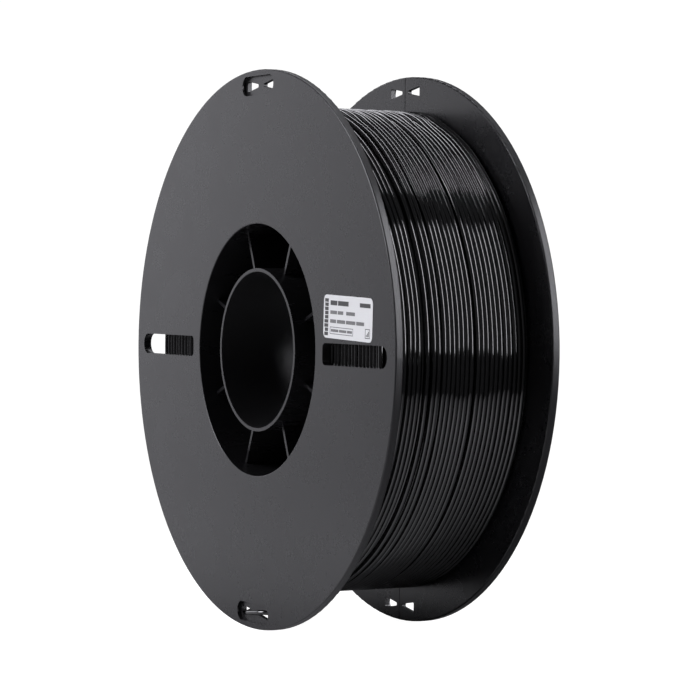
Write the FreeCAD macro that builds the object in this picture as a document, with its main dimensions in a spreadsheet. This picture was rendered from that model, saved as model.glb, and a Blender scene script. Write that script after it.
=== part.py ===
import FreeCAD, Part
import math
import os

from FreeCAD import Placement, Rotation, Vector
import Sketcher

# Filament spool.  Spool axis along Y, +Z up, origin on the axis halfway between the flanges.
# Two mouldings meet at the mid-plane Y = 0. They differ only in the front one's sight windows,
# and the front one carries the label at -Y.

SHEET_VALUES = [
    # flanges and hub
    ("flange_radius", 100.0),
    ("spool_half_width", 32.0),
    ("flange_thickness", 3.0),
    ("rim_round", 0.5),
    ("drum_radius", 46.7),
    ("drum_wall", 1.6),
    ("drum_root_round", 0.8),
    ("bore_radius", 28.0),
    ("tube_wall", 1.2),
    ("tube_inset", 0.6),
    ("mouth_round", 0.3),
    ("web_thickness", 1.6),
    ("rib_count", 8),
    ("rib_thickness", 1.2),
    ("rib_inset", 5.6),
    # joining pins and sockets between the ribs
    ("pin_circle_radius", 37.2),
    ("pin_radius", 2.0),
    ("pin_length", 4.0),
    ("pin_tip_chamfer", 0.5),
    ("socket_play", 0.1),
    ("boss_wall", 1.5),
    ("boss_height", 6.6),
    # sight windows, one each side of the front flange
    ("window_inner", 50.2),
    ("window_outer", 94.3),
    ("window_height", 7.6),
    ("window_corner", 1.8),
    # recessed clips for the filament's end, at the top and bottom of every flange
    ("clip_radius", 94.4),
    ("clip_height", 6.9),
    ("clip_half_length", 12.0),
    ("clip_straight", 9.3),
    ("clip_depth", 1.4),
    ("clip_hole_near", 2.0),
    ("clip_hole_far", 10.3),
    ("clip_hole_near_height", 1.1),
    ("clip_hole_far_height", 3.9),
    ("clip_hole_corner", 0.45),
    # fine radial split line on the flange's inner face
    ("split_line_width", 0.35),
    ("split_line_depth", 0.2),
    # hole in the drum for the filament's first end
    ("start_hole_radius", 1.15),
    ("start_hole_depth_from_face", 8.0),
    ("start_hole_angle", 45.0),
    # filament
    ("filament_radius", 0.875),
    ("winding_gap", 0.05),
    ("winding_radius", 87.6),
    ("turns_per_layer", 32),
    ("turn_crown", 0.62),
    ("tail_turn_drop", 3.3),
    ("tail_start_angle", 164.0),
    ("tail_bend_radius", 25.0),
    ("tail_clip_bend_radius", 5.0),
    ("tail_clip_slope", 42.0),
    ("tail_bridge_left", -3.3),
    ("tail_bridge_right", 3.9),
    ("tail_bridge_rise", 1.05),
    ("tail_end_run", 5.2),
    ("start_outer_play", 0.1),
    ("start_bend_radius", 4.0),
    ("start_run", 3.2),
    ("start_end_run", 5.0),
    # label
    ("label_length", 33.6),
    ("label_height", 14.7),
    ("label_corner", 2.0),
    ("label_thickness", 0.1),
    ("label_centre_x", 67.8),
    ("label_centre_z", 12.5),
    ("label_tilt", -1.9),
]

doc = FreeCAD.newDocument("filament_spool")
sheet = doc.addObject("Spreadsheet::Sheet", "Sheet")
for row, (alias, value) in enumerate(SHEET_VALUES, start=1):
    sheet.set("A%d" % row, alias)
    sheet.set("B%d" % row, str(value))
    sheet.setAlias("B%d" % row, alias)
doc.recompute()


def val(alias):
    return float(getattr(sheet, alias))


def point(x, y):
    return Vector(x, y, 0)


def polar(radius, degrees):
    angle = math.radians(degrees)
    return point(radius * math.cos(angle), radius * math.sin(angle))


def new_body(name):
    body = doc.addObject("PartDesign::Body", name)
    body.Label = name
    return body


def new_sketch(body, name, plane, curves, height="0"):
    """Sketch on one of the body's own planes, moved along the plane's normal by an expression."""
    sketch = body.newObject("Sketcher::SketchObject", name)
    origin_plane = [item for item in body.Origin.OriginFeatures if item.Role == plane][0]
    sketch.AttachmentSupport = [(origin_plane, "")]
    sketch.MapMode = "FlatFace"
    sketch.setExpression("AttachmentOffset.Base.z", height)
    for curve in curves:
        sketch.addGeometry(curve, False)
    return sketch


def new_feature(body, kind, name, sketch, **expressions):
    """Pad or pocket from a sketch, its numbers bound to the sheet."""
    feature = body.newObject(kind, name)
    feature.Profile = sketch
    sketch.Visibility = False
    for prop, expression in expressions.items():
        feature.setExpression(prop, expression)
    return feature


def revolve(body, name, sketch):
    feature = body.newObject("PartDesign::Revolution", name)
    feature.Profile = sketch
    feature.ReferenceAxis = (sketch, ["V_Axis"])
    feature.Angle = 360.0
    sketch.Visibility = False
    return feature


def driven_polygon(body, name, corners):
    """Closed polygon in the XY plane whose corners are pairs of sheet expressions."""
    values = [point(evaluate(x), evaluate(y)) for x, y in corners]
    count = len(values)
    lines = [Part.LineSegment(values[i], values[(i + 1) % count]) for i in range(count)]
    sketch = new_sketch(body, name, "XY_Plane", lines)
    for i in range(count):
        sketch.addConstraint(Sketcher.Constraint("Coincident", i, 2, (i + 1) % count, 1))
    for i, (x, y) in enumerate(corners):
        for kind, expression, value in (("DistanceX", x, values[i].x), ("DistanceY", y, values[i].y)):
            if abs(value) < 1e-9:
                axis = -2 if kind == "DistanceX" else -1
                sketch.addConstraint(Sketcher.Constraint("PointOnObject", i, 1, axis))
                continue
            index = sketch.addConstraint(Sketcher.Constraint(kind, -1, 1, i, 1, value))
            sketch.setExpression("Constraints[%d]" % index, expression)
    return sketch


def evaluate(expression):
    result = sheet.evalExpression(expression.replace("Sheet.", ""))
    return float(getattr(result, "Value", result))


def rounded_loop(corners, radii):
    """Closed loop of lines with a tangent arc at every corner."""
    count = len(corners)
    curves, ends = [], []
    for i in range(count):
        corner = corners[i]
        back = (corners[i - 1] - corner).normalize()
        ahead = (corners[(i + 1) % count] - corner).normalize()
        half = back.getAngle(ahead) / 2
        reach = radii[i] / math.tan(half)
        centre = corner + (back + ahead).normalize() * (radii[i] / math.sin(half))
        middle = centre + (corner - centre).normalize() * radii[i]
        first, last = corner + back * reach, corner + ahead * reach
        curves.append(Part.Arc(first, middle, last))
        ends.append((first, last))
    for i in range(count):
        start, stop = ends[i][1], ends[(i + 1) % count][0]
        if start.distanceToPoint(stop) > 1e-6:
            curves.append(Part.LineSegment(start, stop))
    return curves


def circular_edges(shape, radius, axial=None):
    """Names of the full-circle edges about the Y axis with a given radius and position."""
    names = []
    for number, edge in enumerate(shape.Edges, start=1):
        if not isinstance(edge.Curve, Part.Circle):
            continue
        on_axis = math.hypot(edge.Curve.Center.x, edge.Curve.Center.z) < 1e-4
        placed = axial is None or abs(edge.Curve.Center.y - axial) < 1e-4
        if on_axis and placed and abs(edge.Curve.Radius - radius) < 1e-4:
            names.append("Edge%d" % number)
    return names


def fillet(body, name, base, edges, expression):
    feature = body.newObject("PartDesign::Fillet", name)
    feature.Base = (base, edges)
    feature.setExpression("Radius", expression)
    doc.recompute()
    return feature


def window_loop(side):
    """Sight window: long radial slot, small corners towards the hub and a round outer end."""
    low, high = -val("window_height") / 2, val("window_height") / 2
    inner, outer, corner = val("window_inner"), val("window_outer"), val("window_corner")
    corners = [point(side * inner, low), point(side * outer, low),
               point(side * outer, high), point(side * inner, high)]
    return rounded_loop(corners, [corner, high * 0.985, high * 0.985, corner])


def clip_recess_loop(side):
    """Recess with straight long edges and bowed ends."""
    middle = side * val("clip_radius")
    half = val("clip_height") / 2
    straight, bow = val("clip_straight"), val("clip_half_length")
    top_left, top_right = point(-straight, middle + half), point(straight, middle + half)
    low_left, low_right = point(-straight, middle - half), point(straight, middle - half)
    return [
        Part.LineSegment(top_left, top_right),
        Part.Arc(top_right, point(bow, middle), low_right),
        Part.LineSegment(low_right, low_left),
        Part.Arc(low_left, point(-bow, middle), top_left),
    ]


def clip_hole_loop(side, end):
    """Wedge hole, narrow towards the post in the middle of the recess."""
    middle = side * val("clip_radius")
    near, far = end * val("clip_hole_near"), end * val("clip_hole_far")
    near_half, far_half = val("clip_hole_near_height") / 2, val("clip_hole_far_height") / 2
    corners = [point(near, middle - near_half), point(far, middle - far_half),
               point(far, middle + far_half), point(near, middle + near_half)]
    return rounded_loop(corners, [val("clip_hole_corner")] * 4)


def circle(centre, radius):
    return Part.Circle(centre, Vector(0, 0, 1), radius)


def box_loop(x_low, x_high, y_low, y_high, turn=0.0):
    corners = [point(x_low, y_low), point(x_high, y_low), point(x_high, y_high), point(x_low, y_high)]
    rotation = Rotation(Vector(0, 0, 1), turn)
    corners = [rotation.multVec(corner) for corner in corners]
    return [Part.LineSegment(corners[i], corners[(i + 1) % 4]) for i in range(4)]


PIN_ANGLES = (0.0, 135.0, 225.0)
SOCKET_ANGLES = (180.0, 45.0, 315.0)
SIDES = (1, -1)


def build_half(name, has_windows):
    """Flange, drum half, bore tube half, mid-plane web, ribs, pins and sockets in one moulding."""
    body = new_body(name)

    face = "-Sheet.spool_half_width"
    back = "-Sheet.spool_half_width + Sheet.flange_thickness"
    drum_inner = "Sheet.drum_radius - Sheet.drum_wall"
    tube_outer = "Sheet.bore_radius + Sheet.tube_wall"
    tube_face = "-Sheet.spool_half_width + Sheet.tube_inset"
    profile = driven_polygon(body, name + "_profile", [
        (drum_inner, face),
        ("Sheet.flange_radius", face),
        ("Sheet.flange_radius", back),
        ("Sheet.drum_radius", back),
        ("Sheet.drum_radius", "0"),
        ("Sheet.bore_radius", "0"),
        ("Sheet.bore_radius", tube_face),
        (tube_outer, tube_face),
        (tube_outer, "-Sheet.web_thickness"),
        (drum_inner, "-Sheet.web_thickness"),
    ])
    shell = revolve(body, name + "_shell", profile)
    doc.recompute()

    rim = fillet(body, name + "_rim", shell,
                 circular_edges(shell.Shape, val("flange_radius")), "Sheet.rim_round")
    root = fillet(body, name + "_drum_root", rim,
                  circular_edges(rim.Shape, val("drum_radius"), evaluate(back)),
                  "Sheet.drum_root_round")
    fillet(body, name + "_mouth", root,
           circular_edges(root.Shape, evaluate(drum_inner), evaluate(face)), "Sheet.mouth_round")

    # the sketches below lie in the XZ plane, whose normal points to -Y
    rib_angle = 180.0 / val("rib_count")
    overlap = val("tube_wall") / 2
    rib_sketch = new_sketch(body, name + "_rib_sketch", "XZ_Plane",
                            box_loop(val("bore_radius") + overlap, val("drum_radius") - overlap,
                                     -val("rib_thickness") / 2, val("rib_thickness") / 2, rib_angle),
                            "Sheet.web_thickness / 2")
    rib = new_feature(body, "PartDesign::Pad", name + "_rib", rib_sketch,
                      Length="Sheet.spool_half_width - Sheet.rib_inset - Sheet.web_thickness / 2")
    ribs = body.newObject("PartDesign::PolarPattern", name + "_ribs")
    ribs.Originals = [rib]
    ribs.Axis = (rib_sketch, ["N_Axis"])
    ribs.Angle = 360.0
    ribs.setExpression("Occurrences", "Sheet.rib_count")
    body.Tip = ribs
    doc.recompute()

    ring = val("pin_circle_radius")
    pin_sketch = new_sketch(body, name + "_pin_sketch", "XZ_Plane",
                            [circle(polar(ring, a), val("pin_radius")) for a in PIN_ANGLES],
                            "Sheet.web_thickness / 2")
    pins = new_feature(body, "PartDesign::Pad", name + "_pins", pin_sketch,
                       Length="Sheet.pin_length + Sheet.web_thickness / 2")
    pins.Reversed = True
    doc.recompute()
    tips = ["Edge%d" % number for number, edge in enumerate(pins.Shape.Edges, start=1)
            if isinstance(edge.Curve, Part.Circle)
            and abs(edge.Curve.Radius - val("pin_radius")) < 1e-4
            and abs(edge.Curve.Center.y - val("pin_length")) < 1e-4]
    chamfer = body.newObject("PartDesign::Chamfer", name + "_pin_tips")
    chamfer.Base = (pins, tips)
    chamfer.setExpression("Size", "Sheet.pin_tip_chamfer")
    doc.recompute()

    hole_radius = val("pin_radius") + val("socket_play")
    boss_sketch = new_sketch(body, name + "_boss_sketch", "XZ_Plane",
                             [circle(polar(ring, a), hole_radius + val("boss_wall"))
                              for a in SOCKET_ANGLES], "Sheet.web_thickness / 2")
    new_feature(body, "PartDesign::Pad", name + "_bosses", boss_sketch,
                Length="Sheet.boss_height - Sheet.web_thickness / 2")
    socket_sketch = new_sketch(body, name + "_socket_sketch", "XZ_Plane",
                               [circle(polar(ring, a), hole_radius) for a in SOCKET_ANGLES])
    sockets = new_feature(body, "PartDesign::Pocket", name + "_sockets", socket_sketch,
                          Length="Sheet.pin_length + 4 * Sheet.socket_play")
    sockets.Reversed = True
    doc.recompute()

    if has_windows:
        window_sketch = new_sketch(body, name + "_window_sketch", "XZ_Plane",
                                   window_loop(1) + window_loop(-1), "Sheet.spool_half_width")
        new_feature(body, "PartDesign::Pocket", name + "_windows", window_sketch,
                    Length="Sheet.flange_thickness + 1")

    recess_sketch = new_sketch(body, name + "_clip_recess_sketch", "XZ_Plane",
                               clip_recess_loop(1) + clip_recess_loop(-1), "Sheet.spool_half_width")
    new_feature(body, "PartDesign::Pocket", name + "_clip_recesses", recess_sketch,
                Length="Sheet.clip_depth")

    hole_curves = []
    for side in SIDES:
        for end in SIDES:
            hole_curves += clip_hole_loop(side, end)
    hole_sketch = new_sketch(body, name + "_clip_hole_sketch", "XZ_Plane", hole_curves,
                             "Sheet.spool_half_width")
    new_feature(body, "PartDesign::Pocket", name + "_clip_holes", hole_sketch,
                Length="Sheet.flange_thickness + 1")
    doc.recompute()

    width = val("split_line_width") / 2
    line_curves = []
    for side in SIDES:
        ends = sorted((side * (val("drum_radius") + 2), side * (val("flange_radius") + 1)))
        line_curves += box_loop(-width, width, ends[0], ends[1])
    line_sketch = new_sketch(body, name + "_split_line_sketch", "XZ_Plane", line_curves,
                             "Sheet.spool_half_width - Sheet.flange_thickness")
    split = new_feature(body, "PartDesign::Pocket", name + "_split_lines", line_sketch,
                        Length="Sheet.split_line_depth")
    split.Reversed = True
    doc.recompute()

    bore = body.newObject("PartDesign::SubtractiveCylinder", name + "_start_hole")
    bore.setExpression("Radius", "Sheet.start_hole_radius")
    bore.setExpression("Height", "2 * Sheet.drum_wall + 2")
    direction = polar(1, val("start_hole_angle"))
    start = val("drum_radius") - val("drum_wall") - 1
    bore.Placement = Placement(
        Vector(direction.x * start, val("start_hole_depth_from_face") - val("spool_half_width"),
               direction.y * start),
        Rotation(Vector(0, 0, 1), Vector(direction.x, 0, direction.y)))
    doc.recompute()
    return body


def build_winding():
    """Wound filament: drum-hugging ring whose outside shows the crowns of the last layer."""
    body = new_body("winding")
    inner = val("drum_radius") + val("winding_gap") + val("drum_root_round")
    touch = val("drum_radius") + val("winding_gap")
    outer = val("winding_radius")
    end = val("spool_half_width") - val("flange_thickness") - val("winding_gap")
    root = end - val("drum_root_round")
    pitch = 2 * end / val("turns_per_layer")
    valley = outer - val("turn_crown")
    channel_floor = outer - val("tail_turn_drop") - 2 * val("filament_radius") - val("winding_gap")
    channel_wall = -end + pitch

    curves = [
        Part.LineSegment(point(touch, root), point(touch, -root)),
        Part.LineSegment(point(touch, -root), point(inner, -end)),
        Part.LineSegment(point(inner, -end), point(channel_floor, -end)),
        Part.LineSegment(point(channel_floor, -end), point(channel_floor, channel_wall)),
        Part.LineSegment(point(channel_floor, channel_wall), point(valley, channel_wall)),
    ]
    for turn in range(1, int(val("turns_per_layer"))):
        low = -end + turn * pitch
        curves.append(Part.Arc(point(valley, low), point(outer, low + pitch / 2),
                               point(valley, low + pitch)))
    curves += [
        Part.LineSegment(point(valley, end), point(inner, end)),
        Part.LineSegment(point(inner, end), point(touch, root)),
    ]
    sketch = new_sketch(body, "winding_profile", "XY_Plane", curves)
    revolve(body, "winding_ring", sketch)
    doc.recompute()
    return body


def swept_strand(name, edges, end_plane_normal):
    """Round strand of filament along a wire of lines and tangent arcs."""
    spine_wire = Part.Wire(edges)
    spine = doc.addObject("Part::Feature", name + "_path")
    spine.Shape = spine_wire
    start = spine_wire.OrderedEdges[0]
    ring = doc.addObject("Part::Circle", name + "_section")
    ring.setExpression("Radius", "Sheet.filament_radius")
    ring.Placement = Placement(start.valueAt(start.FirstParameter),
                               Rotation(Vector(0, 0, 1), end_plane_normal))
    sweep = doc.addObject("Part::Sweep", name)
    sweep.Label = name
    sweep.Sections = [ring]
    sweep.Spine = (spine, ["Edge%d" % n for n in range(1, len(spine_wire.Edges) + 1)])
    sweep.Solid = True
    sweep.Frenet = False
    doc.recompute()
    section = math.pi * val("filament_radius") ** 2
    print("%s: length %.1f mm, volume / (section x length) = %.4f"
          % (name, spine_wire.Length, sweep.Shape.Volume / (section * spine_wire.Length)))
    return sweep


def around(angle, radius, axial):
    """Point on a turn; the angle is measured from the lowest point, growing towards +X."""
    turn = math.radians(angle)
    return Vector(radius * math.sin(turn), axial, -radius * math.cos(turn))


def tail_edges():
    """Last turn beside the front flange, straight run to the clip, out over the post and back in."""
    turn_radius = val("winding_radius") - val("tail_turn_drop") - val("filament_radius")
    inside = val("flange_thickness") - val("spool_half_width") + val("winding_gap") \
        + val("filament_radius") + 0.02
    height = val("clip_radius")
    bend, clip_bend = val("tail_bend_radius"), val("tail_clip_bend_radius")
    slope = math.radians(val("tail_clip_slope"))
    outside = val("clip_depth") - val("spool_half_width") - val("tail_bridge_rise")
    right, left = val("tail_bridge_right"), val("tail_bridge_left")

    # S-bend from the inside of the flange to the outside, seen from above
    arc_x, arc_y = clip_bend * math.sin(slope), clip_bend * (1 - math.cos(slope))
    run_y = inside - outside - 2 * arc_y
    run_x = run_y / math.tan(slope)
    entry_x = right + 2 * arc_x + run_x

    # angle at which the strand leaves the turn so that the bend ends level with the clip
    reach = entry_x + 0.3
    leave = 0.5
    for _ in range(60):
        leave = math.acos((turn_radius - bend - reach * math.sin(leave)) / (height - bend))
    run = ((turn_radius - bend) * math.sin(leave) - reach) / math.cos(leave)

    def arc(first, middle, last):
        return Part.Arc(first, middle, last).toShape()

    def line(first, last):
        return Part.LineSegment(first, last).toShape()

    leave_degrees = math.degrees(leave)
    start_degrees = val("tail_start_angle")
    turn_start = around(start_degrees, turn_radius, inside)
    turn_middle = around((start_degrees + leave_degrees) / 2, turn_radius, inside)
    turn_end = around(leave_degrees, turn_radius, inside)
    straight_end = turn_end + Vector(-math.cos(leave), 0, -math.sin(leave)) * run
    bend_centre = Vector(reach, inside, bend - height)
    bend_middle = bend_centre + Vector(math.sin(leave / 2), 0, -math.cos(leave / 2)) * bend
    bend_end = Vector(reach, inside, -height)
    entry = Vector(entry_x, inside, -height)

    def clip_point(x, y):
        return Vector(x, y, -height)

    def on_arc(centre_x, centre_y, angle):
        return clip_point(centre_x - clip_bend * math.sin(angle),
                          centre_y + clip_bend * math.cos(angle))

    entry_centre = (entry_x, inside - clip_bend)
    rise_start = on_arc(entry_centre[0], entry_centre[1], slope)
    right_centre = (right, outside + clip_bend)
    rise_end = clip_point(right + arc_x, outside + arc_y)
    right_middle = on_arc(right_centre[0], right_centre[1], math.pi + slope / 2)
    left_centre = (left, outside + clip_bend)
    left_middle = on_arc(left_centre[0], left_centre[1], math.pi - slope / 2)
    fall_start = clip_point(left - arc_x, outside + arc_y)
    end_run = val("tail_end_run")
    fall_end = fall_start + Vector(-math.cos(slope), math.sin(slope), 0) * end_run
    print("filament_tail radii: turn %.2f, bend %.1f, clip bends %.1f mm"
          % (turn_radius, bend, clip_bend))
    return [
        arc(turn_start, turn_middle, turn_end),
        line(turn_end, straight_end),
        arc(straight_end, bend_middle, bend_end),
        line(bend_end, entry),
        arc(entry, on_arc(entry_centre[0], entry_centre[1], slope / 2), rise_start),
        line(rise_start, rise_end),
        arc(rise_end, right_middle, clip_point(right, outside)),
        line(clip_point(right, outside), clip_point(left, outside)),
        arc(clip_point(left, outside), left_middle, fall_start),
        line(fall_start, fall_end),
    ]


def start_edges():
    """First end of the filament: in through the drum's hole, then bent along the spool axis."""
    direction = polar(1, val("start_hole_angle"))
    inward = Vector(-direction.x, 0, -direction.y)
    axial = Vector(0, 1, 0)
    depth = val("start_hole_depth_from_face") - val("spool_half_width")
    radius = val("drum_radius") - val("start_outer_play")
    outer = Vector(direction.x * radius, depth, direction.y * radius)
    bend = val("start_bend_radius")
    bend_start = outer + inward * val("start_run")
    centre = bend_start + axial * bend
    middle = centre + (inward - axial) * (bend / math.sqrt(2))
    bend_end = centre + inward * bend
    print("filament_start radius: bend %.1f mm" % bend)
    return [
        Part.LineSegment(outer, bend_start).toShape(),
        Part.Arc(bend_start, middle, bend_end).toShape(),
        Part.LineSegment(bend_end, bend_end + axial * val("start_end_run")).toShape(),
    ]


def build_label():
    """Paper sticker with rounded corners on the front face, just above the right-hand window."""
    body = new_body("label")
    half_length, half_height = val("label_length") / 2, val("label_height") / 2
    corners = [point(-half_length, -half_height), point(half_length, -half_height),
               point(half_length, half_height), point(-half_length, half_height)]
    sketch = new_sketch(body, "label_outline", "XZ_Plane",
                        rounded_loop(corners, [val("label_corner")] * 4))
    new_feature(body, "PartDesign::Pad", "label_sheet", sketch, Length="Sheet.label_thickness")
    body.Placement = Placement(
        Vector(val("label_centre_x"), -val("spool_half_width"), val("label_centre_z")),
        Rotation(Vector(0, -1, 0), val("label_tilt")))
    doc.recompute()
    return body


front_half = build_half("front_half", True)
rear_half = build_half("rear_half", False)
rear_half.Placement = Placement(Vector(0, 0, 0), Rotation(Vector(0, 0, 1), 180))
winding = build_winding()
tail = swept_strand("filament_tail", tail_edges(),
                    Vector(math.cos(math.radians(val("tail_start_angle"))), 0,
                           math.sin(math.radians(val("tail_start_angle")))))
start_direction = polar(1, val("start_hole_angle"))
start_end = swept_strand("filament_start", start_edges(),
                         Vector(-start_direction.x, 0, -start_direction.y))
label = build_label()
doc.recompute()

for item in doc.Objects:
    if "Invalid" in item.State or "Error" in item.State:
        raise RuntimeError("%s is in state %s" % (item.Name, item.State))

PARTS = [front_half, rear_half, winding, tail, start_end, label]
for item in PARTS:
    if item.Shape.isNull() or not item.Shape.isValid() or len(item.Shape.Solids) != 1:
        raise RuntimeError("%s has no single valid solid" % item.Label)

os.makedirs("parts", exist_ok=True)
for item in PARTS:
    item.Shape.exportStep(os.path.join("parts", item.Label + ".step"))
    box = item.Shape.BoundBox
    print("%-15s volume %9.1f mm3  box X %.2f..%.2f  Y %.2f..%.2f  Z %.2f..%.2f"
          % (item.Label, item.Shape.Volume, box.XMin, box.XMax, box.YMin, box.YMax,
             box.ZMin, box.ZMax))
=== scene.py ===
import math
import random

import bpy
import numpy as np
from mathutils import Matrix, Vector


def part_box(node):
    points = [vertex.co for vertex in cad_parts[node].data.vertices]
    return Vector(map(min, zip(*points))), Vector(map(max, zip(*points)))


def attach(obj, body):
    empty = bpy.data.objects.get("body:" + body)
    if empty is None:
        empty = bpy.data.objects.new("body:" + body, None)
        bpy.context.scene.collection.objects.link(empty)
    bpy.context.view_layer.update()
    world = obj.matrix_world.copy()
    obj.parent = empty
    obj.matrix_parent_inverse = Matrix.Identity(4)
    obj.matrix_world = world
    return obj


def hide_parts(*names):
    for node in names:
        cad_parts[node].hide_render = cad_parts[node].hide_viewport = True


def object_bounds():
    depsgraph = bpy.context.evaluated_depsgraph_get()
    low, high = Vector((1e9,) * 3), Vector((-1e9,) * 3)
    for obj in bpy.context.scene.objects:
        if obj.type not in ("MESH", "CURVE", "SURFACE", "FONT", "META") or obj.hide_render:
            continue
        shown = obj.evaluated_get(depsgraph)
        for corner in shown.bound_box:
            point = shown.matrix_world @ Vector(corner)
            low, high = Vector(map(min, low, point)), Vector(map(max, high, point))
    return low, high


# Filament spool: axis along Y, label side at -Y, +Z up, origin on the axis at mid-width.
# The two mouldings and the strand's inner end come from the CAD frame; the winding, the
# strand's outer end and the label are modelled here.

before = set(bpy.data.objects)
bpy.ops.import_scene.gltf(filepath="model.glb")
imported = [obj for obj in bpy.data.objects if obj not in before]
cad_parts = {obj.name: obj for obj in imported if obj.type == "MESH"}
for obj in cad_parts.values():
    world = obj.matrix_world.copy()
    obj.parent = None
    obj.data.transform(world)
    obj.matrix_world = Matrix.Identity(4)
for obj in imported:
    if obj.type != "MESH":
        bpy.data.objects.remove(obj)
cad_low, cad_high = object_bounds()

MM = 0.001
FLANGE_RADIUS = cad_high.x
FLANGE_INNER_FACE = 29.0 * MM
DRUM_RADIUS = 46.7 * MM
BORE_RADIUS = 28.0 * MM
winding_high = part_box("winding")[1]
WINDING_RADIUS = winding_high.x
WINDING_END = winding_high.y

# strand, radial step between layers, and that step as the end turns show it
FILAMENT_RADIUS = 0.875 * MM
LAYER = 1.57 * MM
END_TURN_STEP = 2.3 * MM
PLAY = 0.1 * MM

# the last layer: an even step between turns, with the wider gaps that the machine left,
# and its first turns sunk towards the front flange (extra gaps and drops in mm, by turn)
TURNS = 30
EVEN_STEP = 1.76 * MM
STEP_SCATTER = 0.07 * MM
WIDE_GAPS = {4: 0.3, 7: 1.55, 8: 0.85, 10: 0.55, 17: 0.7, 23: 0.2, 25: 0.2}
TURN_DROPS = {0: 3.3, 1: 1.7, 2: 0.6}
BELOW_TURNS = 32
BELOW_INSET = 0.9 * MM

# solid core behind the strands: how far in, and the width of its lower step
CORE_INSET = 1.9 * MM
CORE_LAYERS = 1.4
CORE_STEP_WIDTH = 2.0 * MM

# mesh resolution: points per turn or along the strand, and sides round it
TOP_STEPS, TOP_SIDES = 300, 12
BELOW_STEPS, BELOW_SIDES = 180, 8
RING_STEPS, CORE_STEPS = 200, 160
TAIL_STEPS, TAIL_SIDES = 420, 14

# where each turn steps over to the next, as an angle about the axis, and how it wanders
CROSSING = math.radians(164)
CROSSING_WIDTH = 0.19
CROSSING_SCATTER = 0.08
BELOW_CROSSING = CROSSING + 0.2
LIFT = 0.45 * MM
SWAY = 0.13 * MM
RIDE = 0.07 * MM
SINK = 0.14 * MM

# path of the strand's outer end: down beside the front flange, then over the bottom clip's post
TAIL_TURN_DROP = 3.3 * MM
TAIL_GAP = 0.07 * MM
CLIP_HEIGHT = 94.4 * MM
CLIP_OUTSIDE = -31.64 * MM
CLIP_SLOPE = math.radians(42.0)
POST_RIGHT, POST_LEFT = 3.9 * MM, -3.3 * MM
TAIL_BEND, CLIP_BEND = 25.0 * MM, 5.0 * MM
BEND_LEAD = 0.3 * MM
CLIP_DROP, CLIP_RISE, RISE_HALF_WIDTH = -0.5 * MM, 1.4 * MM, 8.0 * MM
END_RUNS = (1.7, 3.5, 5.2)


# ---------------------------------------------------------------- materials

PLASTIC_DARK, PLASTIC_LIGHT = (0.0078, 0.0077, 0.0084), (0.0112, 0.0110, 0.0120)
PLASTIC_ROUGHNESS, PLASTIC_IOR = (0.25, 0.31), 1.47
RIM_DULLER, BORE_DULLER = 0.08, 0.15
FILAMENT_DARK, FILAMENT_LIGHT = (0.0022, 0.0022, 0.0024), (0.0042, 0.0042, 0.0045)
FILAMENT_ROUGHNESS, FILAMENT_IOR = (0.05, 0.10), 1.8
PAPER_DARK, PAPER_LIGHT = (0.63, 0.635, 0.635), (0.70, 0.705, 0.705)


def new_material(name):
    material = bpy.data.materials.new(name)
    material.use_nodes = True
    nodes, links = material.node_tree.nodes, material.node_tree.links
    shader = nodes["Principled BSDF"]
    coordinates = nodes.new("ShaderNodeTexCoord").outputs["Object"]
    return material, nodes, links, shader, coordinates


def noise(nodes, links, vector, scale, detail=4.0, roughness=0.55, stretch=None):
    """Noise texture over the object's own coordinates, in features per metre."""
    if stretch is not None:
        mapping = nodes.new("ShaderNodeMapping")
        mapping.inputs["Scale"].default_value = stretch
        links.new(vector, mapping.inputs["Vector"])
        vector = mapping.outputs["Vector"]
    texture = nodes.new("ShaderNodeTexNoise")
    texture.inputs["Scale"].default_value = scale
    texture.inputs["Detail"].default_value = detail
    texture.inputs["Roughness"].default_value = roughness
    links.new(vector, texture.inputs["Vector"])
    return texture.outputs["Fac"]


def remap(nodes, links, value, low, high, to_low, to_high, interpolation="LINEAR"):
    node = nodes.new("ShaderNodeMapRange")
    node.interpolation_type = interpolation
    for name, number in (("From Min", low), ("From Max", high),
                         ("To Min", to_low), ("To Max", to_high)):
        node.inputs[name].default_value = number
    links.new(value, node.inputs["Value"])
    return node.outputs["Result"]


def ramp_between(nodes, links, value, low, high, to_low, to_high):
    """Remap with soft ends, clamped outside the range."""
    return remap(nodes, links, value, low, high, to_low, to_high, "SMOOTHSTEP")


def slot(nodes, links, value, rise, full, fade, end):
    """1 between full and fade, 0 before rise and after end."""
    return math_node(nodes, links, "SUBTRACT",
                     ramp_between(nodes, links, value, rise, full, 0.0, 1.0),
                     ramp_between(nodes, links, value, fade, end, 0.0, 1.0))


def ramp(nodes, links, value, stops):
    """Colour by value, from (place, colour) stops."""
    node = nodes.new("ShaderNodeValToRGB")
    elements = node.color_ramp.elements
    while len(elements) < len(stops):
        elements.new(0.5)
    for element, (place, colour) in zip(elements, stops):
        element.position = place
        element.color = (*colour, 1.0)
    links.new(value, node.inputs["Fac"])
    return node.outputs["Color"]


def math_node(nodes, links, operation, first, second=None, third=None):
    node = nodes.new("ShaderNodeMath")
    node.operation = operation
    for socket, value in zip(node.inputs, (first, second, third)):
        if value is None:
            continue
        if isinstance(value, (int, float)):
            socket.default_value = value
        else:
            links.new(value, socket)
    return node.outputs["Value"]


def bump(nodes, links, shader, height, strength, distance):
    node = nodes.new("ShaderNodeBump")
    node.inputs["Strength"].default_value = strength
    node.inputs["Distance"].default_value = distance
    links.new(height, node.inputs["Height"])
    links.new(node.outputs["Normal"], shader.inputs["Normal"])


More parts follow.
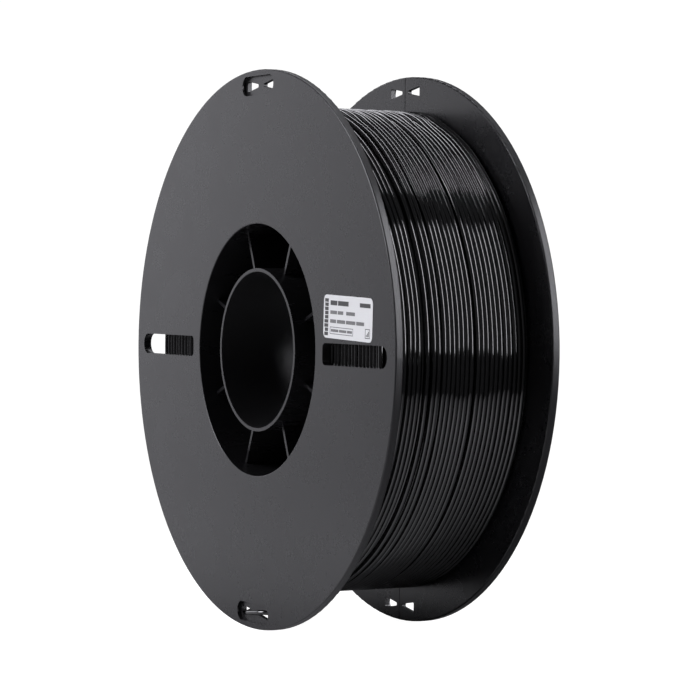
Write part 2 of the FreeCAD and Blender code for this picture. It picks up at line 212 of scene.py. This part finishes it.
def spool_plastic():
    """Dark moulded plastic with a fine satin skin, faint flow marks and light handling wear."""
    material, nodes, links, shader, where = new_material("spool_plastic")
    cloud = noise(nodes, links, where, 18.0, 3.0)
    speckle = noise(nodes, links, where, 900.0, 2.0)
    tone = math_node(nodes, links, "MULTIPLY_ADD", speckle, 0.25, cloud)
    colour = ramp(nodes, links, tone, [(0.35, PLASTIC_DARK), (0.85, PLASTIC_LIGHT)])
    links.new(colour, shader.inputs["Base Color"])
    handling = noise(nodes, links, where, 60.0, 6.0, 0.7, (1.0, 0.2, 1.0))
    roughness = remap(nodes, links, handling, 0.3, 0.75, *PLASTIC_ROUGHNESS)
    # the rim and the bore are duller than the polished faces of the mould
    split = nodes.new("ShaderNodeSeparateXYZ")
    links.new(where, split.inputs["Vector"])
    across, upwards = split.outputs["X"], split.outputs["Z"]
    radius = math_node(nodes, links, "MULTIPLY_ADD", across, across,
                       math_node(nodes, links, "MULTIPLY", upwards, upwards))
    radius = math_node(nodes, links, "SQRT", radius)
    rim = remap(nodes, links, radius,
                FLANGE_RADIUS - 0.6 * MM, FLANGE_RADIUS - 0.1 * MM, 0.0, RIM_DULLER)
    bore = remap(nodes, links, radius,
                 BORE_RADIUS + 0.1 * MM, BORE_RADIUS + 0.5 * MM, BORE_DULLER, 0.0)
    duller = math_node(nodes, links, "ADD", rim, bore)
    links.new(math_node(nodes, links, "ADD", roughness, duller), shader.inputs["Roughness"])
    shader.inputs["IOR"].default_value = PLASTIC_IOR
    grain = noise(nodes, links, where, 5200.0, 2.0)
    bump(nodes, links, shader, grain, 0.16, 0.00006)
    return material


def filament_plastic():
    """Extruded black filament: glossy, with slow changes of gloss along the strand."""
    material, nodes, links, shader, where = new_material("filament")
    cloud = noise(nodes, links, where, 120.0, 3.0)
    colour = ramp(nodes, links, cloud, [(0.3, FILAMENT_DARK), (0.8, FILAMENT_LIGHT)])
    links.new(colour, shader.inputs["Base Color"])
    streak = noise(nodes, links, where, 260.0, 4.0, 0.6)
    roughness = remap(nodes, links, streak, 0.3, 0.75, *FILAMENT_ROUGHNESS)
    links.new(roughness, shader.inputs["Roughness"])
    shader.inputs["IOR"].default_value = FILAMENT_IOR
    ripple = noise(nodes, links, where, 420.0, 2.0)
    bump(nodes, links, shader, ripple, 0.05, 0.0002)
    return material


def label_paper():
    """Coated white sticker paper with a trace of fibre."""
    material, nodes, links, shader, where = new_material("label_paper")
    fibre = noise(nodes, links, where, 1500.0, 5.0, 0.7, (1.0, 1.0, 3.0))
    colour = ramp(nodes, links, fibre, [(0.3, PAPER_DARK), (0.8, PAPER_LIGHT)])
    links.new(colour, shader.inputs["Base Color"])
    links.new(remap(nodes, links, fibre, 0.3, 0.8, 0.45, 0.6), shader.inputs["Roughness"])
    bump(nodes, links, shader, fibre, 0.15, 0.00002)
    return material


def label_ink(name, dark, light):
    """Printed grey between two levels."""
    material, nodes, links, shader, where = new_material(name)
    speckle = noise(nodes, links, where, 2600.0, 3.0)
    colour = ramp(nodes, links, speckle, [(0.35, (dark,) * 3), (0.75, (light,) * 3)])
    links.new(colour, shader.inputs["Base Color"])
    links.new(remap(nodes, links, speckle, 0.3, 0.8, 0.4, 0.55), shader.inputs["Roughness"])
    return material


PLASTIC = spool_plastic()
FILAMENT = filament_plastic()
PAPER = label_paper()
INK = label_ink("label_ink", 0.02, 0.05)
GREY_INK = label_ink("label_grey_ink", 0.11, 0.19)


# ---------------------------------------------------------------- meshes

def mesh_object(name, vertices, faces, materials, indices=None, smooth=True):
    """New object from lists of vertices and faces; indices give each face's material."""
    mesh = bpy.data.meshes.new(name)
    mesh.from_pydata([tuple(v) for v in vertices], [], faces)
    for material in materials:
        mesh.materials.append(material)
    if indices is not None:
        mesh.polygons.foreach_set("material_index", indices)
    mesh.polygons.foreach_set("use_smooth", [smooth] * len(mesh.polygons))
    mesh.update()
    mesh.validate()
    obj = bpy.data.objects.new(name, mesh)
    bpy.context.collection.objects.link(obj)
    return obj


def tube(points, radius, sides, closed):
    """Round tube along points, its rings turned as little as possible from one to the next."""
    points = np.asarray(points, dtype=float)
    count = len(points)
    if closed:
        tangents = np.roll(points, -1, 0) - np.roll(points, 1, 0)
    else:
        tangents = np.gradient(points, axis=0)
    tangents /= np.linalg.norm(tangents, axis=1)[:, None]
    first = np.zeros((count, 3))
    across = np.array([0.0, 1.0, 0.0])
    for i in range(count):
        across = across - tangents[i] * across.dot(tangents[i])
        across /= np.linalg.norm(across)
        first[i] = across
    second = np.cross(tangents, first)
    turn = np.arange(sides) * 2 * math.pi / sides
    rings = (points[:, None, :]
             + radius * np.cos(turn)[None, :, None] * first[:, None, :]
             + radius * np.sin(turn)[None, :, None] * second[:, None, :])
    faces = []
    for i in range(count if closed else count - 1):
        low, high = i * sides, ((i + 1) % count) * sides
        for j in range(sides):
            k = (j + 1) % sides
            faces.append((low + j, low + k, high + k, high + j))
    if not closed:
        faces.append(tuple(reversed(range(sides))))
        faces.append(tuple((count - 1) * sides + j for j in range(sides)))
    return rings.reshape(-1, 3), faces


class Pile:
    """Collects shells of vertices and faces for one object."""

    def __init__(self):
        self.vertices, self.faces = [], []

    def add(self, vertices, faces):
        start = len(self.vertices)
        self.vertices.extend(np.asarray(vertices).tolist())
        self.faces.extend([tuple(start + i for i in face) for face in faces])


def around(angle, radius, axial):
    """Points about the spool axis; angle 0 is the lowest point, growing towards +X."""
    angle, radius, axial = np.broadcast_arrays(angle, radius, axial)
    return np.stack([radius * np.sin(angle), axial, -radius * np.cos(angle)], axis=-1)


def smooth_step(x):
    x = np.clip(x, 0.0, 1.0)
    return x * x * (3 - 2 * x)


# ---------------------------------------------------------------- wound filament

def turn_places(rng):
    """Axial place of each turn of the last layer, front to rear."""
    gaps = [EVEN_STEP + WIDE_GAPS.get(i, 0.0) * MM + rng.uniform(-STEP_SCATTER, STEP_SCATTER)
            for i in range(TURNS - 1)]
    places = np.concatenate([[0.0], np.cumsum(gaps)])
    end = WINDING_END - FILAMENT_RADIUS - PLAY / 2
    return places * (2 * end / places[-1]) - end


def helix(places, radii, cross_at, cross_width, rng, steps):
    """One strand over a whole layer: level turns with a short sidestep in each, near one angle."""
    angles, axial, radial = [], [], []
    sway_phase, ride_phase = rng.uniform(0, 6), rng.uniform(0, 6)
    for turn in range(len(places) - 1):
        centre = cross_at + rng.uniform(-CROSSING_SCATTER, CROSSING_SCATTER)
        width = cross_width * rng.uniform(0.8, 1.3)
        sway_phase += rng.uniform(-0.5, 0.5)
        ride_phase += rng.uniform(-1.5, 1.5)
        lift = rng.uniform(0.0, LIFT)
        local = np.arange(steps) * 2 * math.pi / steps
        step = smooth_step((local - math.pi) / width + 0.5)
        away = np.sin(local / 2) ** 2
        ends = 1 - np.abs(local - math.pi) / math.pi
        hump = np.exp(-((local - math.pi) / width) ** 2 * 3)
        y = places[turn] + (places[turn + 1] - places[turn]) * step
        y = y + SWAY * (np.sin(3 * local + sway_phase) + np.sin(5 * local - sway_phase)) * ends
        r = radii[turn] + (radii[turn + 1] - radii[turn]) * step
        r = r + RIDE * (np.sin(13 * local + ride_phase) + np.sin(19 * local - ride_phase)) * away
        r = r - SINK * away + lift * hump - PLAY
        angles.append(local - math.pi + centre + 2 * math.pi * turn)
        axial.append(y)
        radial.append(r)
    return around(np.concatenate(angles), np.concatenate(radial), np.concatenate(axial))


def build_winding():
    """Last layer, the one below it, the end turns of the inner layers and a core behind them."""
    rng = random.Random(7)
    pile = Pile()
    top_radius = WINDING_RADIUS - FILAMENT_RADIUS
    places = turn_places(rng)
    radii = np.array([top_radius - TURN_DROPS.get(i, 0.0) * MM for i in range(TURNS)])
    strand = helix(places[1:], radii[1:], CROSSING, CROSSING_WIDTH, rng, TOP_STEPS)
    pile.add(*tube(strand, FILAMENT_RADIUS, TOP_SIDES, False))
    end = WINDING_END - FILAMENT_RADIUS - PLAY
    below = np.linspace(-end + BELOW_INSET, end, BELOW_TURNS)
    below_radii = np.full(BELOW_TURNS, top_radius - LAYER)
    for turn, drop in TURN_DROPS.items():
        below_radii[turn] -= drop * MM
    strand = helix(below, below_radii, BELOW_CROSSING, CROSSING_WIDTH, rng, BELOW_STEPS)
    pile.add(*tube(strand, FILAMENT_RADIUS, BELOW_SIDES, False))
    # end turns of the inner layers, seen through the windows
    first = DRUM_RADIUS + FILAMENT_RADIUS + PLAY
    ring_angles = np.arange(RING_STEPS) * 2 * math.pi / RING_STEPS
    for side, outermost in ((-1, top_radius - TAIL_TURN_DROP - LAYER), (1, top_radius - LAYER)):
        layers = int((outermost - first) / END_TURN_STEP)
        spacing = (outermost - first) / layers
        for number in range(layers + 1):
            radius = first + number * spacing + rng.uniform(-PLAY, PLAY)
            inset = rng.uniform(0, 3 * PLAY)
            place = side * (WINDING_END - FILAMENT_RADIUS - inset)
            ring = around(ring_angles, radius, place)
            pile.add(*tube(ring, FILAMENT_RADIUS, BELOW_SIDES, True))
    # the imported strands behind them, lower beside the front flange
    core_end = WINDING_END - CORE_INSET
    core_low, core_high = DRUM_RADIUS + PLAY, top_radius - CORE_LAYERS * LAYER
    step_end = -core_end + CORE_STEP_WIDTH
    step_radius = core_high - TAIL_TURN_DROP
    profile = [(core_low, -core_end), (step_radius, -core_end), (step_radius, step_end),
               (core_high, step_end), (core_high, core_end), (core_low, core_end)]
    pile.add(*lathe(profile, CORE_STEPS))
    obj = mesh_object("winding_strand", pile.vertices, pile.faces, [FILAMENT])
    return obj, places, radii


def lathe(profile, steps):
    """Closed ring of revolution about the spool axis from (radius, axial) corners."""
    count = len(profile)
    angles = np.arange(steps) * 2 * math.pi / steps
    vertices = np.concatenate([around(angles, radius, axial) for radius, axial in profile])
    faces = []
    for i in range(count):
        j = (i + 1) % count
        for k in range(steps):
            m = (k + 1) % steps
            faces.append((i * steps + k, j * steps + k, j * steps + m, i * steps + m))
    return vertices, faces


def arc_points(centre, radius, start, stop, steps, plane):
    """Points on an arc; plane maps the arc's own two coordinates to the spool's."""
    turn = np.linspace(start, stop, steps)
    return [plane(centre[0] + radius * math.cos(a), centre[1] + radius * math.sin(a)) for a in turn]


def build_tail(places, radii):
    """Last turn beside the front flange, out by the clip's right hole, over the post, back in."""
    turn_radius = WINDING_RADIUS - TAIL_TURN_DROP - FILAMENT_RADIUS
    inside = -FLANGE_INNER_FACE + FILAMENT_RADIUS + TAIL_GAP
    arc_x, arc_y = CLIP_BEND * math.sin(CLIP_SLOPE), CLIP_BEND * (1 - math.cos(CLIP_SLOPE))
    run_x = (inside - CLIP_OUTSIDE - 2 * arc_y) / math.tan(CLIP_SLOPE)
    entry_x = POST_RIGHT + 2 * arc_x + run_x
    reach = entry_x + BEND_LEAD
    leave = 0.5  # angle where the strand leaves the turn, so that the bend ends level with the clip
    for _ in range(60):
        leave = math.acos((turn_radius - TAIL_BEND - reach * math.sin(leave))
                          / (CLIP_HEIGHT - TAIL_BEND))

    def upright(x, z):
        return (x, inside, z)

    def level(x, y):
        rise = smooth_step((x + RISE_HALF_WIDTH) / (2 * RISE_HALF_WIDTH))
        return (x, y, rise * CLIP_RISE + CLIP_DROP - CLIP_HEIGHT)

    # from under the next turn, sideways at the crossing, down the +X side to the clip
    angles = np.linspace(CROSSING + math.pi + 0.1, leave, TAIL_STEPS)
    step = smooth_step((CROSSING - angles) / CROSSING_WIDTH + 0.5)
    axial = places[1] + (inside - places[1]) * step
    radial = radii[1] - PLAY + (turn_radius - radii[1] + PLAY) * step
    points = [tuple(p) for p in around(angles, radial, axial)]
    down, over_y = math.pi / 2, CLIP_OUTSIDE + CLIP_BEND
    for centre, bend, start, stop, steps, plane in (
            ((reach, TAIL_BEND - CLIP_HEIGHT), TAIL_BEND, leave - down, -down, 24, upright),
            ((entry_x, inside - CLIP_BEND), CLIP_BEND, down, down + CLIP_SLOPE, 12, level),
            ((POST_RIGHT, over_y), CLIP_BEND, CLIP_SLOPE - down, -down, 12, level),
            ((POST_LEFT, over_y), CLIP_BEND, -down, -down - CLIP_SLOPE, 12, level)):
        points += arc_points(centre, bend, start, stop, steps, plane)
    fall = Vector(points[-1])
    for run in END_RUNS:
        end = fall + Vector((-math.cos(CLIP_SLOPE), math.sin(CLIP_SLOPE), 0)) * run * MM
        points.append(level(end.x, end.y))
    vertices, faces = tube(points, FILAMENT_RADIUS, TAIL_SIDES, False)
    return mesh_object("filament_tail_strand", vertices, faces, [FILAMENT])


winding, turn_axial, turn_radii = build_winding()
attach(winding, "root")
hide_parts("winding")

tail = build_tail(turn_axial, turn_radii)
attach(tail, "root")
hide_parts("filament_tail")


# ---------------------------------------------------------------- CAD nodes

def dress(node, material):
    """Give a CAD node a procedural material instead of its own."""
    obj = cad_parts[node]
    obj.data.materials.clear()
    obj.data.materials.append(material)


dress("front_half", PLASTIC)
dress("rear_half", PLASTIC)
dress("filament_start", FILAMENT)


# ---------------------------------------------------------------- label

# sheet in millimetres, the heights of paper and print above the flange, and the sheet's turn
LABEL_LENGTH, LABEL_HEIGHT = 33.6, 14.7
LABEL_CORNER = 2.0
LABEL_SHEET, LABEL_PRINT = 0.075, 0.095
LABEL_TURN = math.radians(1.9)
PRINT_EDGE = 0.25
WORD_GAP = 0.5
STRIP_BLOCKS, STRIP_PITCH, STRIP_BLOCK_HEIGHT = 9, 1.42, 1.18
SQUARE_SIZE = 3.2


def rounded_outline(x_low, x_high, z_low, z_high, corner, steps=8):
    points = []
    for cx, cz, start in ((x_high - corner, z_high - corner, 0),
                          (x_low + corner, z_high - corner, 90),
                          (x_low + corner, z_low + corner, 180),
                          (x_high - corner, z_low + corner, 270)):
        for i in range(steps + 1):
            angle = math.radians(start + 90 * i / steps)
            points.append((cx + corner * math.cos(angle), cz + corner * math.sin(angle)))
    return points


def plate(outline, back, face):
    """Flat prism on the flange: outline in the label's millimetres, heights above the flange."""
    count = len(outline)
    vertices = [(x, -back, z) for x, z in outline] + [(x, -face, z) for x, z in outline]
    faces = [tuple(reversed(range(count))), tuple(range(count, 2 * count))]
    faces += [(i, (i + 1) % count, (i + 1) % count + count, i + count) for i in range(count)]
    return vertices, faces


def bar(x_low, x_high, z_low, z_high):
    return [(x_high, z_high), (x_low, z_high), (x_low, z_low), (x_high, z_low)]


def word_bars(x_low, x_high, z_low, z_high, words, gap, rng):
    """A printed line shown only as plain blocks of uneven length."""
    shares = [rng.uniform(0.7, 1.3) for _ in range(words)]
    room = (x_high - x_low) - gap * (words - 1)
    blocks, x = [], x_low
    for share in shares:
        length = room * share / sum(shares)
        blocks.append(bar(x, x + length, z_low, z_high))
        x += length + gap
    return blocks


def frame_bars(x_low, x_high, z_low, z_high):
    """Four bars that outline a field."""
    return [bar(x_low, x_high, z_high - PRINT_EDGE, z_high),
            bar(x_low, x_high, z_low, z_low + PRINT_EDGE),
            bar(x_low, x_low + PRINT_EDGE, z_low + PRINT_EDGE, z_high - PRINT_EDGE),
            bar(x_high - PRINT_EDGE, x_high, z_low + PRINT_EDGE, z_high - PRINT_EDGE)]


def build_label():
    """Paper sheet with raised plain blocks in place of its printing."""
    rng = random.Random(3)
    half_x, half_z = LABEL_LENGTH / 2, LABEL_HEIGHT / 2
    vertices, faces, indices = [], [], []

    def add(outline, back, face, material):
        start = len(vertices)
        more, sides = plate(outline, back, face)
        vertices.extend(more)
        faces.extend([tuple(start + i for i in side) for side in sides])
        indices.extend([material] * len(sides))

    def print_blocks(blocks, ink):
        for block in blocks:
            add(block, LABEL_SHEET, LABEL_PRINT, ink)

    paper, black, grey = 0, 1, 2
    add(rounded_outline(-half_x, half_x, -half_z, half_z, LABEL_CORNER), 0.0, LABEL_SHEET, paper)
    # strip of stacked blocks along the left edge
    strip_left, strip_right = -half_x + 0.7, -half_x + 3.4
    for i in range(STRIP_BLOCKS):
        z = half_z - 1.3 - i * STRIP_PITCH
        block_left = strip_left + rng.uniform(0, 0.5)
        print_blocks([bar(block_left, strip_right, z - STRIP_BLOCK_HEIGHT, z)], black)
    left = strip_right + 1.3
    right = half_x - 1.5
    # printed lines: left, right, bottom, top, words, gap between words, ink
    for x_low, x_high, z_low, z_high, words, gap, ink in (
            (left, left + 12.5, 3.9, 5.5, 2, WORD_GAP, black),
            (right - 7.2, right, 4.0, 5.4, 1, WORD_GAP, black),
            (left, left + 9.0, 0.9, 2.1, 2, WORD_GAP, grey),
            (left + 11.0, left + 17.0, 0.9, 2.1, 1, WORD_GAP, grey),
            (left, right - 4.0, -2.1, -0.9, 4, 0.6, grey)):
        print_blocks(word_bars(x_low, x_high, z_low, z_high, words, gap, rng), ink)
    # outlined field with a grey line in it, and a small outlined square with three rising blocks
    print_blocks(frame_bars(left, left + 16.0, -5.9, -3.4), grey)
    print_blocks(word_bars(left + 0.7, left + 16.0 - 0.7, -5.1, -4.2, 3, WORD_GAP, rng), grey)
    square_left, square_low = right - SQUARE_SIZE, -half_z + 1.2
    print_blocks(frame_bars(square_left, right, square_low, square_low + SQUARE_SIZE), black)
    for i in range(3):
        x = square_left + 0.65 + i * 0.7
        print_blocks([bar(x, x + 0.45, square_low + 0.6, square_low + 1.2 + i * 0.6)], black)

    obj = mesh_object("label_sticker", np.array(vertices) * MM, faces, [PAPER, INK, GREY_INK],
                      indices, smooth=False)
    low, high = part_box("label")
    centre = Vector(((low.x + high.x) / 2, high.y, (low.z + high.z) / 2))
    obj.data.transform(Matrix.Translation(centre) @ Matrix.Rotation(LABEL_TURN, 4, "Y"))
    return obj


label = build_label()
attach(label, "root")
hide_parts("label")


# ---------------------------------------------------------------- floor, light, camera

FLOOR_RADIUS = 0.36
FLOOR_GAP = 0.2 * MM
# ramps of the floor's painted light and shade, behind the spool and beside it: from, to, colour
# before, colour after
FLOOR_SHADE_BEHIND, FLOOR_SHADE_BESIDE = (-0.06, 0.04, 0.80, 0.13), (0.17, 0.34, 1.0, 0.4)

# light panels by angle about the spool's axis in degrees, and by how far they face along it:
# start and end of the soft rise, start and end of the soft fall
SIDE_ARC, SIDE_STRIP, SIDE_LEVEL = (-0.6, 1.4, 60.0, 62.0), (0.37, 0.42, 0.56, 0.62), 11.5
OVER_ARC, OVER_STRIP, OVER_LEVELS = (76.0, 78.0, 177.0, 179.0), (0.22, 0.27, 0.35, 0.40), (8.0, 2.4)
# softboxes by direction: from, to, level before, level after
FRONT_FACING, FRONT_BEYOND = (-0.10, -0.28, 0.0, 1.0), (-0.78, -1.0, 0.05, 2.35)
FRONT_HEIGHT = (-0.30, 0.30, 0.33, 1.20)
NEAR_BEYOND, NEAR_HEIGHT = (-0.02, -0.12, 0.0, 9.5), (0.12, 0.22, 0.0, 1.0)
NEAR_FACING = (-0.62, -0.75, 0.0, 1.0)
AMBIENT = 0.04
SURROUND_TINT = (0.975, 0.97, 1.03, 1)
GROUND_WHITE = 1.05

# azimuth, elevation and roll in degrees, from the photo
CAMERA_ANGLES, CAMERA_DISTANCE = (61.11, 1.5, 0.61), 0.965
SENSOR_WIDTH, LENS, LENS_SHIFT = 36.0, 136.55, (0.02376, -0.0007)


def build_floor():
    """Plain pale floor under the two rims."""
    steps = 96
    turn = [2 * math.pi * i / steps for i in range(steps)]
    ring = [(FLOOR_RADIUS * math.cos(a), FLOOR_RADIUS * math.sin(a), 0) for a in turn]
    floor = mesh_object("floor", ring, [tuple(range(steps))], [floor_material()], smooth=False)
    floor.location.z = cad_low.z - FLOOR_GAP


def floor_material():
    """Pale floor that looks white to the camera; painted light and painted shade in its colour
    shape what the spool reflects.
    """
    material, nodes, links, shader, where = new_material("floor")
    grain = noise(nodes, links, where, 40.0, 3.0)
    # painted light: the colour is paler on the label side, with painted shade falling off behind
    # the spool and far beside it
    split = nodes.new("ShaderNodeSeparateXYZ")
    links.new(where, split.inputs["Vector"])
    tone = math_node(nodes, links, "MULTIPLY",
                     ramp_between(nodes, links, split.outputs["Y"], *FLOOR_SHADE_BEHIND),
                     ramp_between(nodes, links, split.outputs["X"], *FLOOR_SHADE_BESIDE))
    tone = math_node(nodes, links, "MULTIPLY_ADD", grain, 0.05, tone)
    links.new(tone, shader.inputs["Base Color"])
    shader.inputs["Roughness"].default_value = 0.8
    shader.inputs["Specular IOR Level"].default_value = 0.2
    shader.inputs["Emission Color"].default_value = (1, 1, 1, 1)
    seen = nodes.new("ShaderNodeLightPath").outputs["Is Camera Ray"]
    links.new(seen, shader.inputs["Emission Strength"])
    return material


def build_world():
    """Soft studio surround: bright panels beside and over the spool, white to the camera."""
    world = bpy.data.worlds.new("studio")
    bpy.context.scene.world = world
    world.use_nodes = True
    nodes, links = world.node_tree.nodes, world.node_tree.links
    nodes.clear()
    direction = nodes.new("ShaderNodeTexCoord").outputs["Generated"]
    split = nodes.new("ShaderNodeSeparateXYZ")
    links.new(direction, split.inputs["Vector"])
    x, y, z = (split.outputs[name] for name in "XYZ")
    angle = math_node(nodes, links, "ARCTAN2", z, x)

    def between(value, limits):
        return ramp_between(nodes, links, value, *limits)

    def combine(operation, *values):
        return math_node(nodes, links, operation, *values)

    def panel(arc, strip):
        return combine("MULTIPLY", slot(nodes, links, angle, *(math.radians(a) for a in arc)),
                       slot(nodes, links, y, *strip))

    # narrow strip panels that bend over the spool behind its far flange, with a gap between them
    over_level = between(angle, (math.radians(100), math.radians(165), *OVER_LEVELS))
    panels = combine("MULTIPLY_ADD", panel(SIDE_ARC, SIDE_STRIP), SIDE_LEVEL,
                     combine("MULTIPLY", panel(OVER_ARC, OVER_STRIP), over_level))

    # large dim softbox beyond -X, brighter above, and a small high one over the label side
    front = combine("MULTIPLY", between(y, FRONT_FACING), between(x, FRONT_BEYOND))
    height = between(z, FRONT_HEIGHT)
    near = combine("MULTIPLY", between(x, NEAR_BEYOND), between(z, NEAR_HEIGHT))
    near = combine("MULTIPLY", near, between(y, NEAR_FACING))
    front = combine("MULTIPLY_ADD", front, height, near)
    light = combine("ADD", combine("ADD", front, panels), AMBIENT)

    surround = nodes.new("ShaderNodeBackground")
    surround.inputs["Color"].default_value = SURROUND_TINT
    links.new(light, surround.inputs["Strength"])
    white = nodes.new("ShaderNodeBackground")
    white.inputs["Color"].default_value = (1, 1, 1, 1)
    white.inputs["Strength"].default_value = GROUND_WHITE
    seen = nodes.new("ShaderNodeLightPath").outputs["Is Camera Ray"]
    mix = nodes.new("ShaderNodeMixShader")
    links.new(seen, mix.inputs["Fac"])
    links.new(surround.outputs["Background"], mix.inputs[1])
    links.new(white.outputs["Background"], mix.inputs[2])
    output = nodes.new("ShaderNodeOutputWorld")
    links.new(mix.outputs["Shader"], output.inputs["Surface"])


def build_camera():
    """Long lens, a little above the axle, turned 61 degrees round the spool from its label side."""
    azimuth, elevation, roll = (math.radians(a) for a in CAMERA_ANGLES)
    back = Vector((math.sin(azimuth) * math.cos(elevation),
                   -math.cos(azimuth) * math.cos(elevation), math.sin(elevation)))
    level = Vector((math.cos(azimuth), math.sin(azimuth), 0))
    upright = back.cross(level)
    right = math.cos(roll) * level + math.sin(roll) * upright
    up = -math.sin(roll) * level + math.cos(roll) * upright
    data = bpy.data.cameras.new("camera")
    data.sensor_width = SENSOR_WIDTH
    data.lens = LENS
    data.shift_x, data.shift_y = LENS_SHIFT
    data.clip_start = 0.01
    camera = bpy.data.objects.new("camera", data)
    bpy.context.collection.objects.link(camera)
    turn = Matrix((right, up, back)).transposed().to_4x4()
    camera.matrix_world = Matrix.Translation(back * CAMERA_DISTANCE) @ turn
    bpy.context.scene.camera = camera


build_floor()
build_world()
build_camera()
bpy.context.scene.view_settings.view_transform = "Standard"
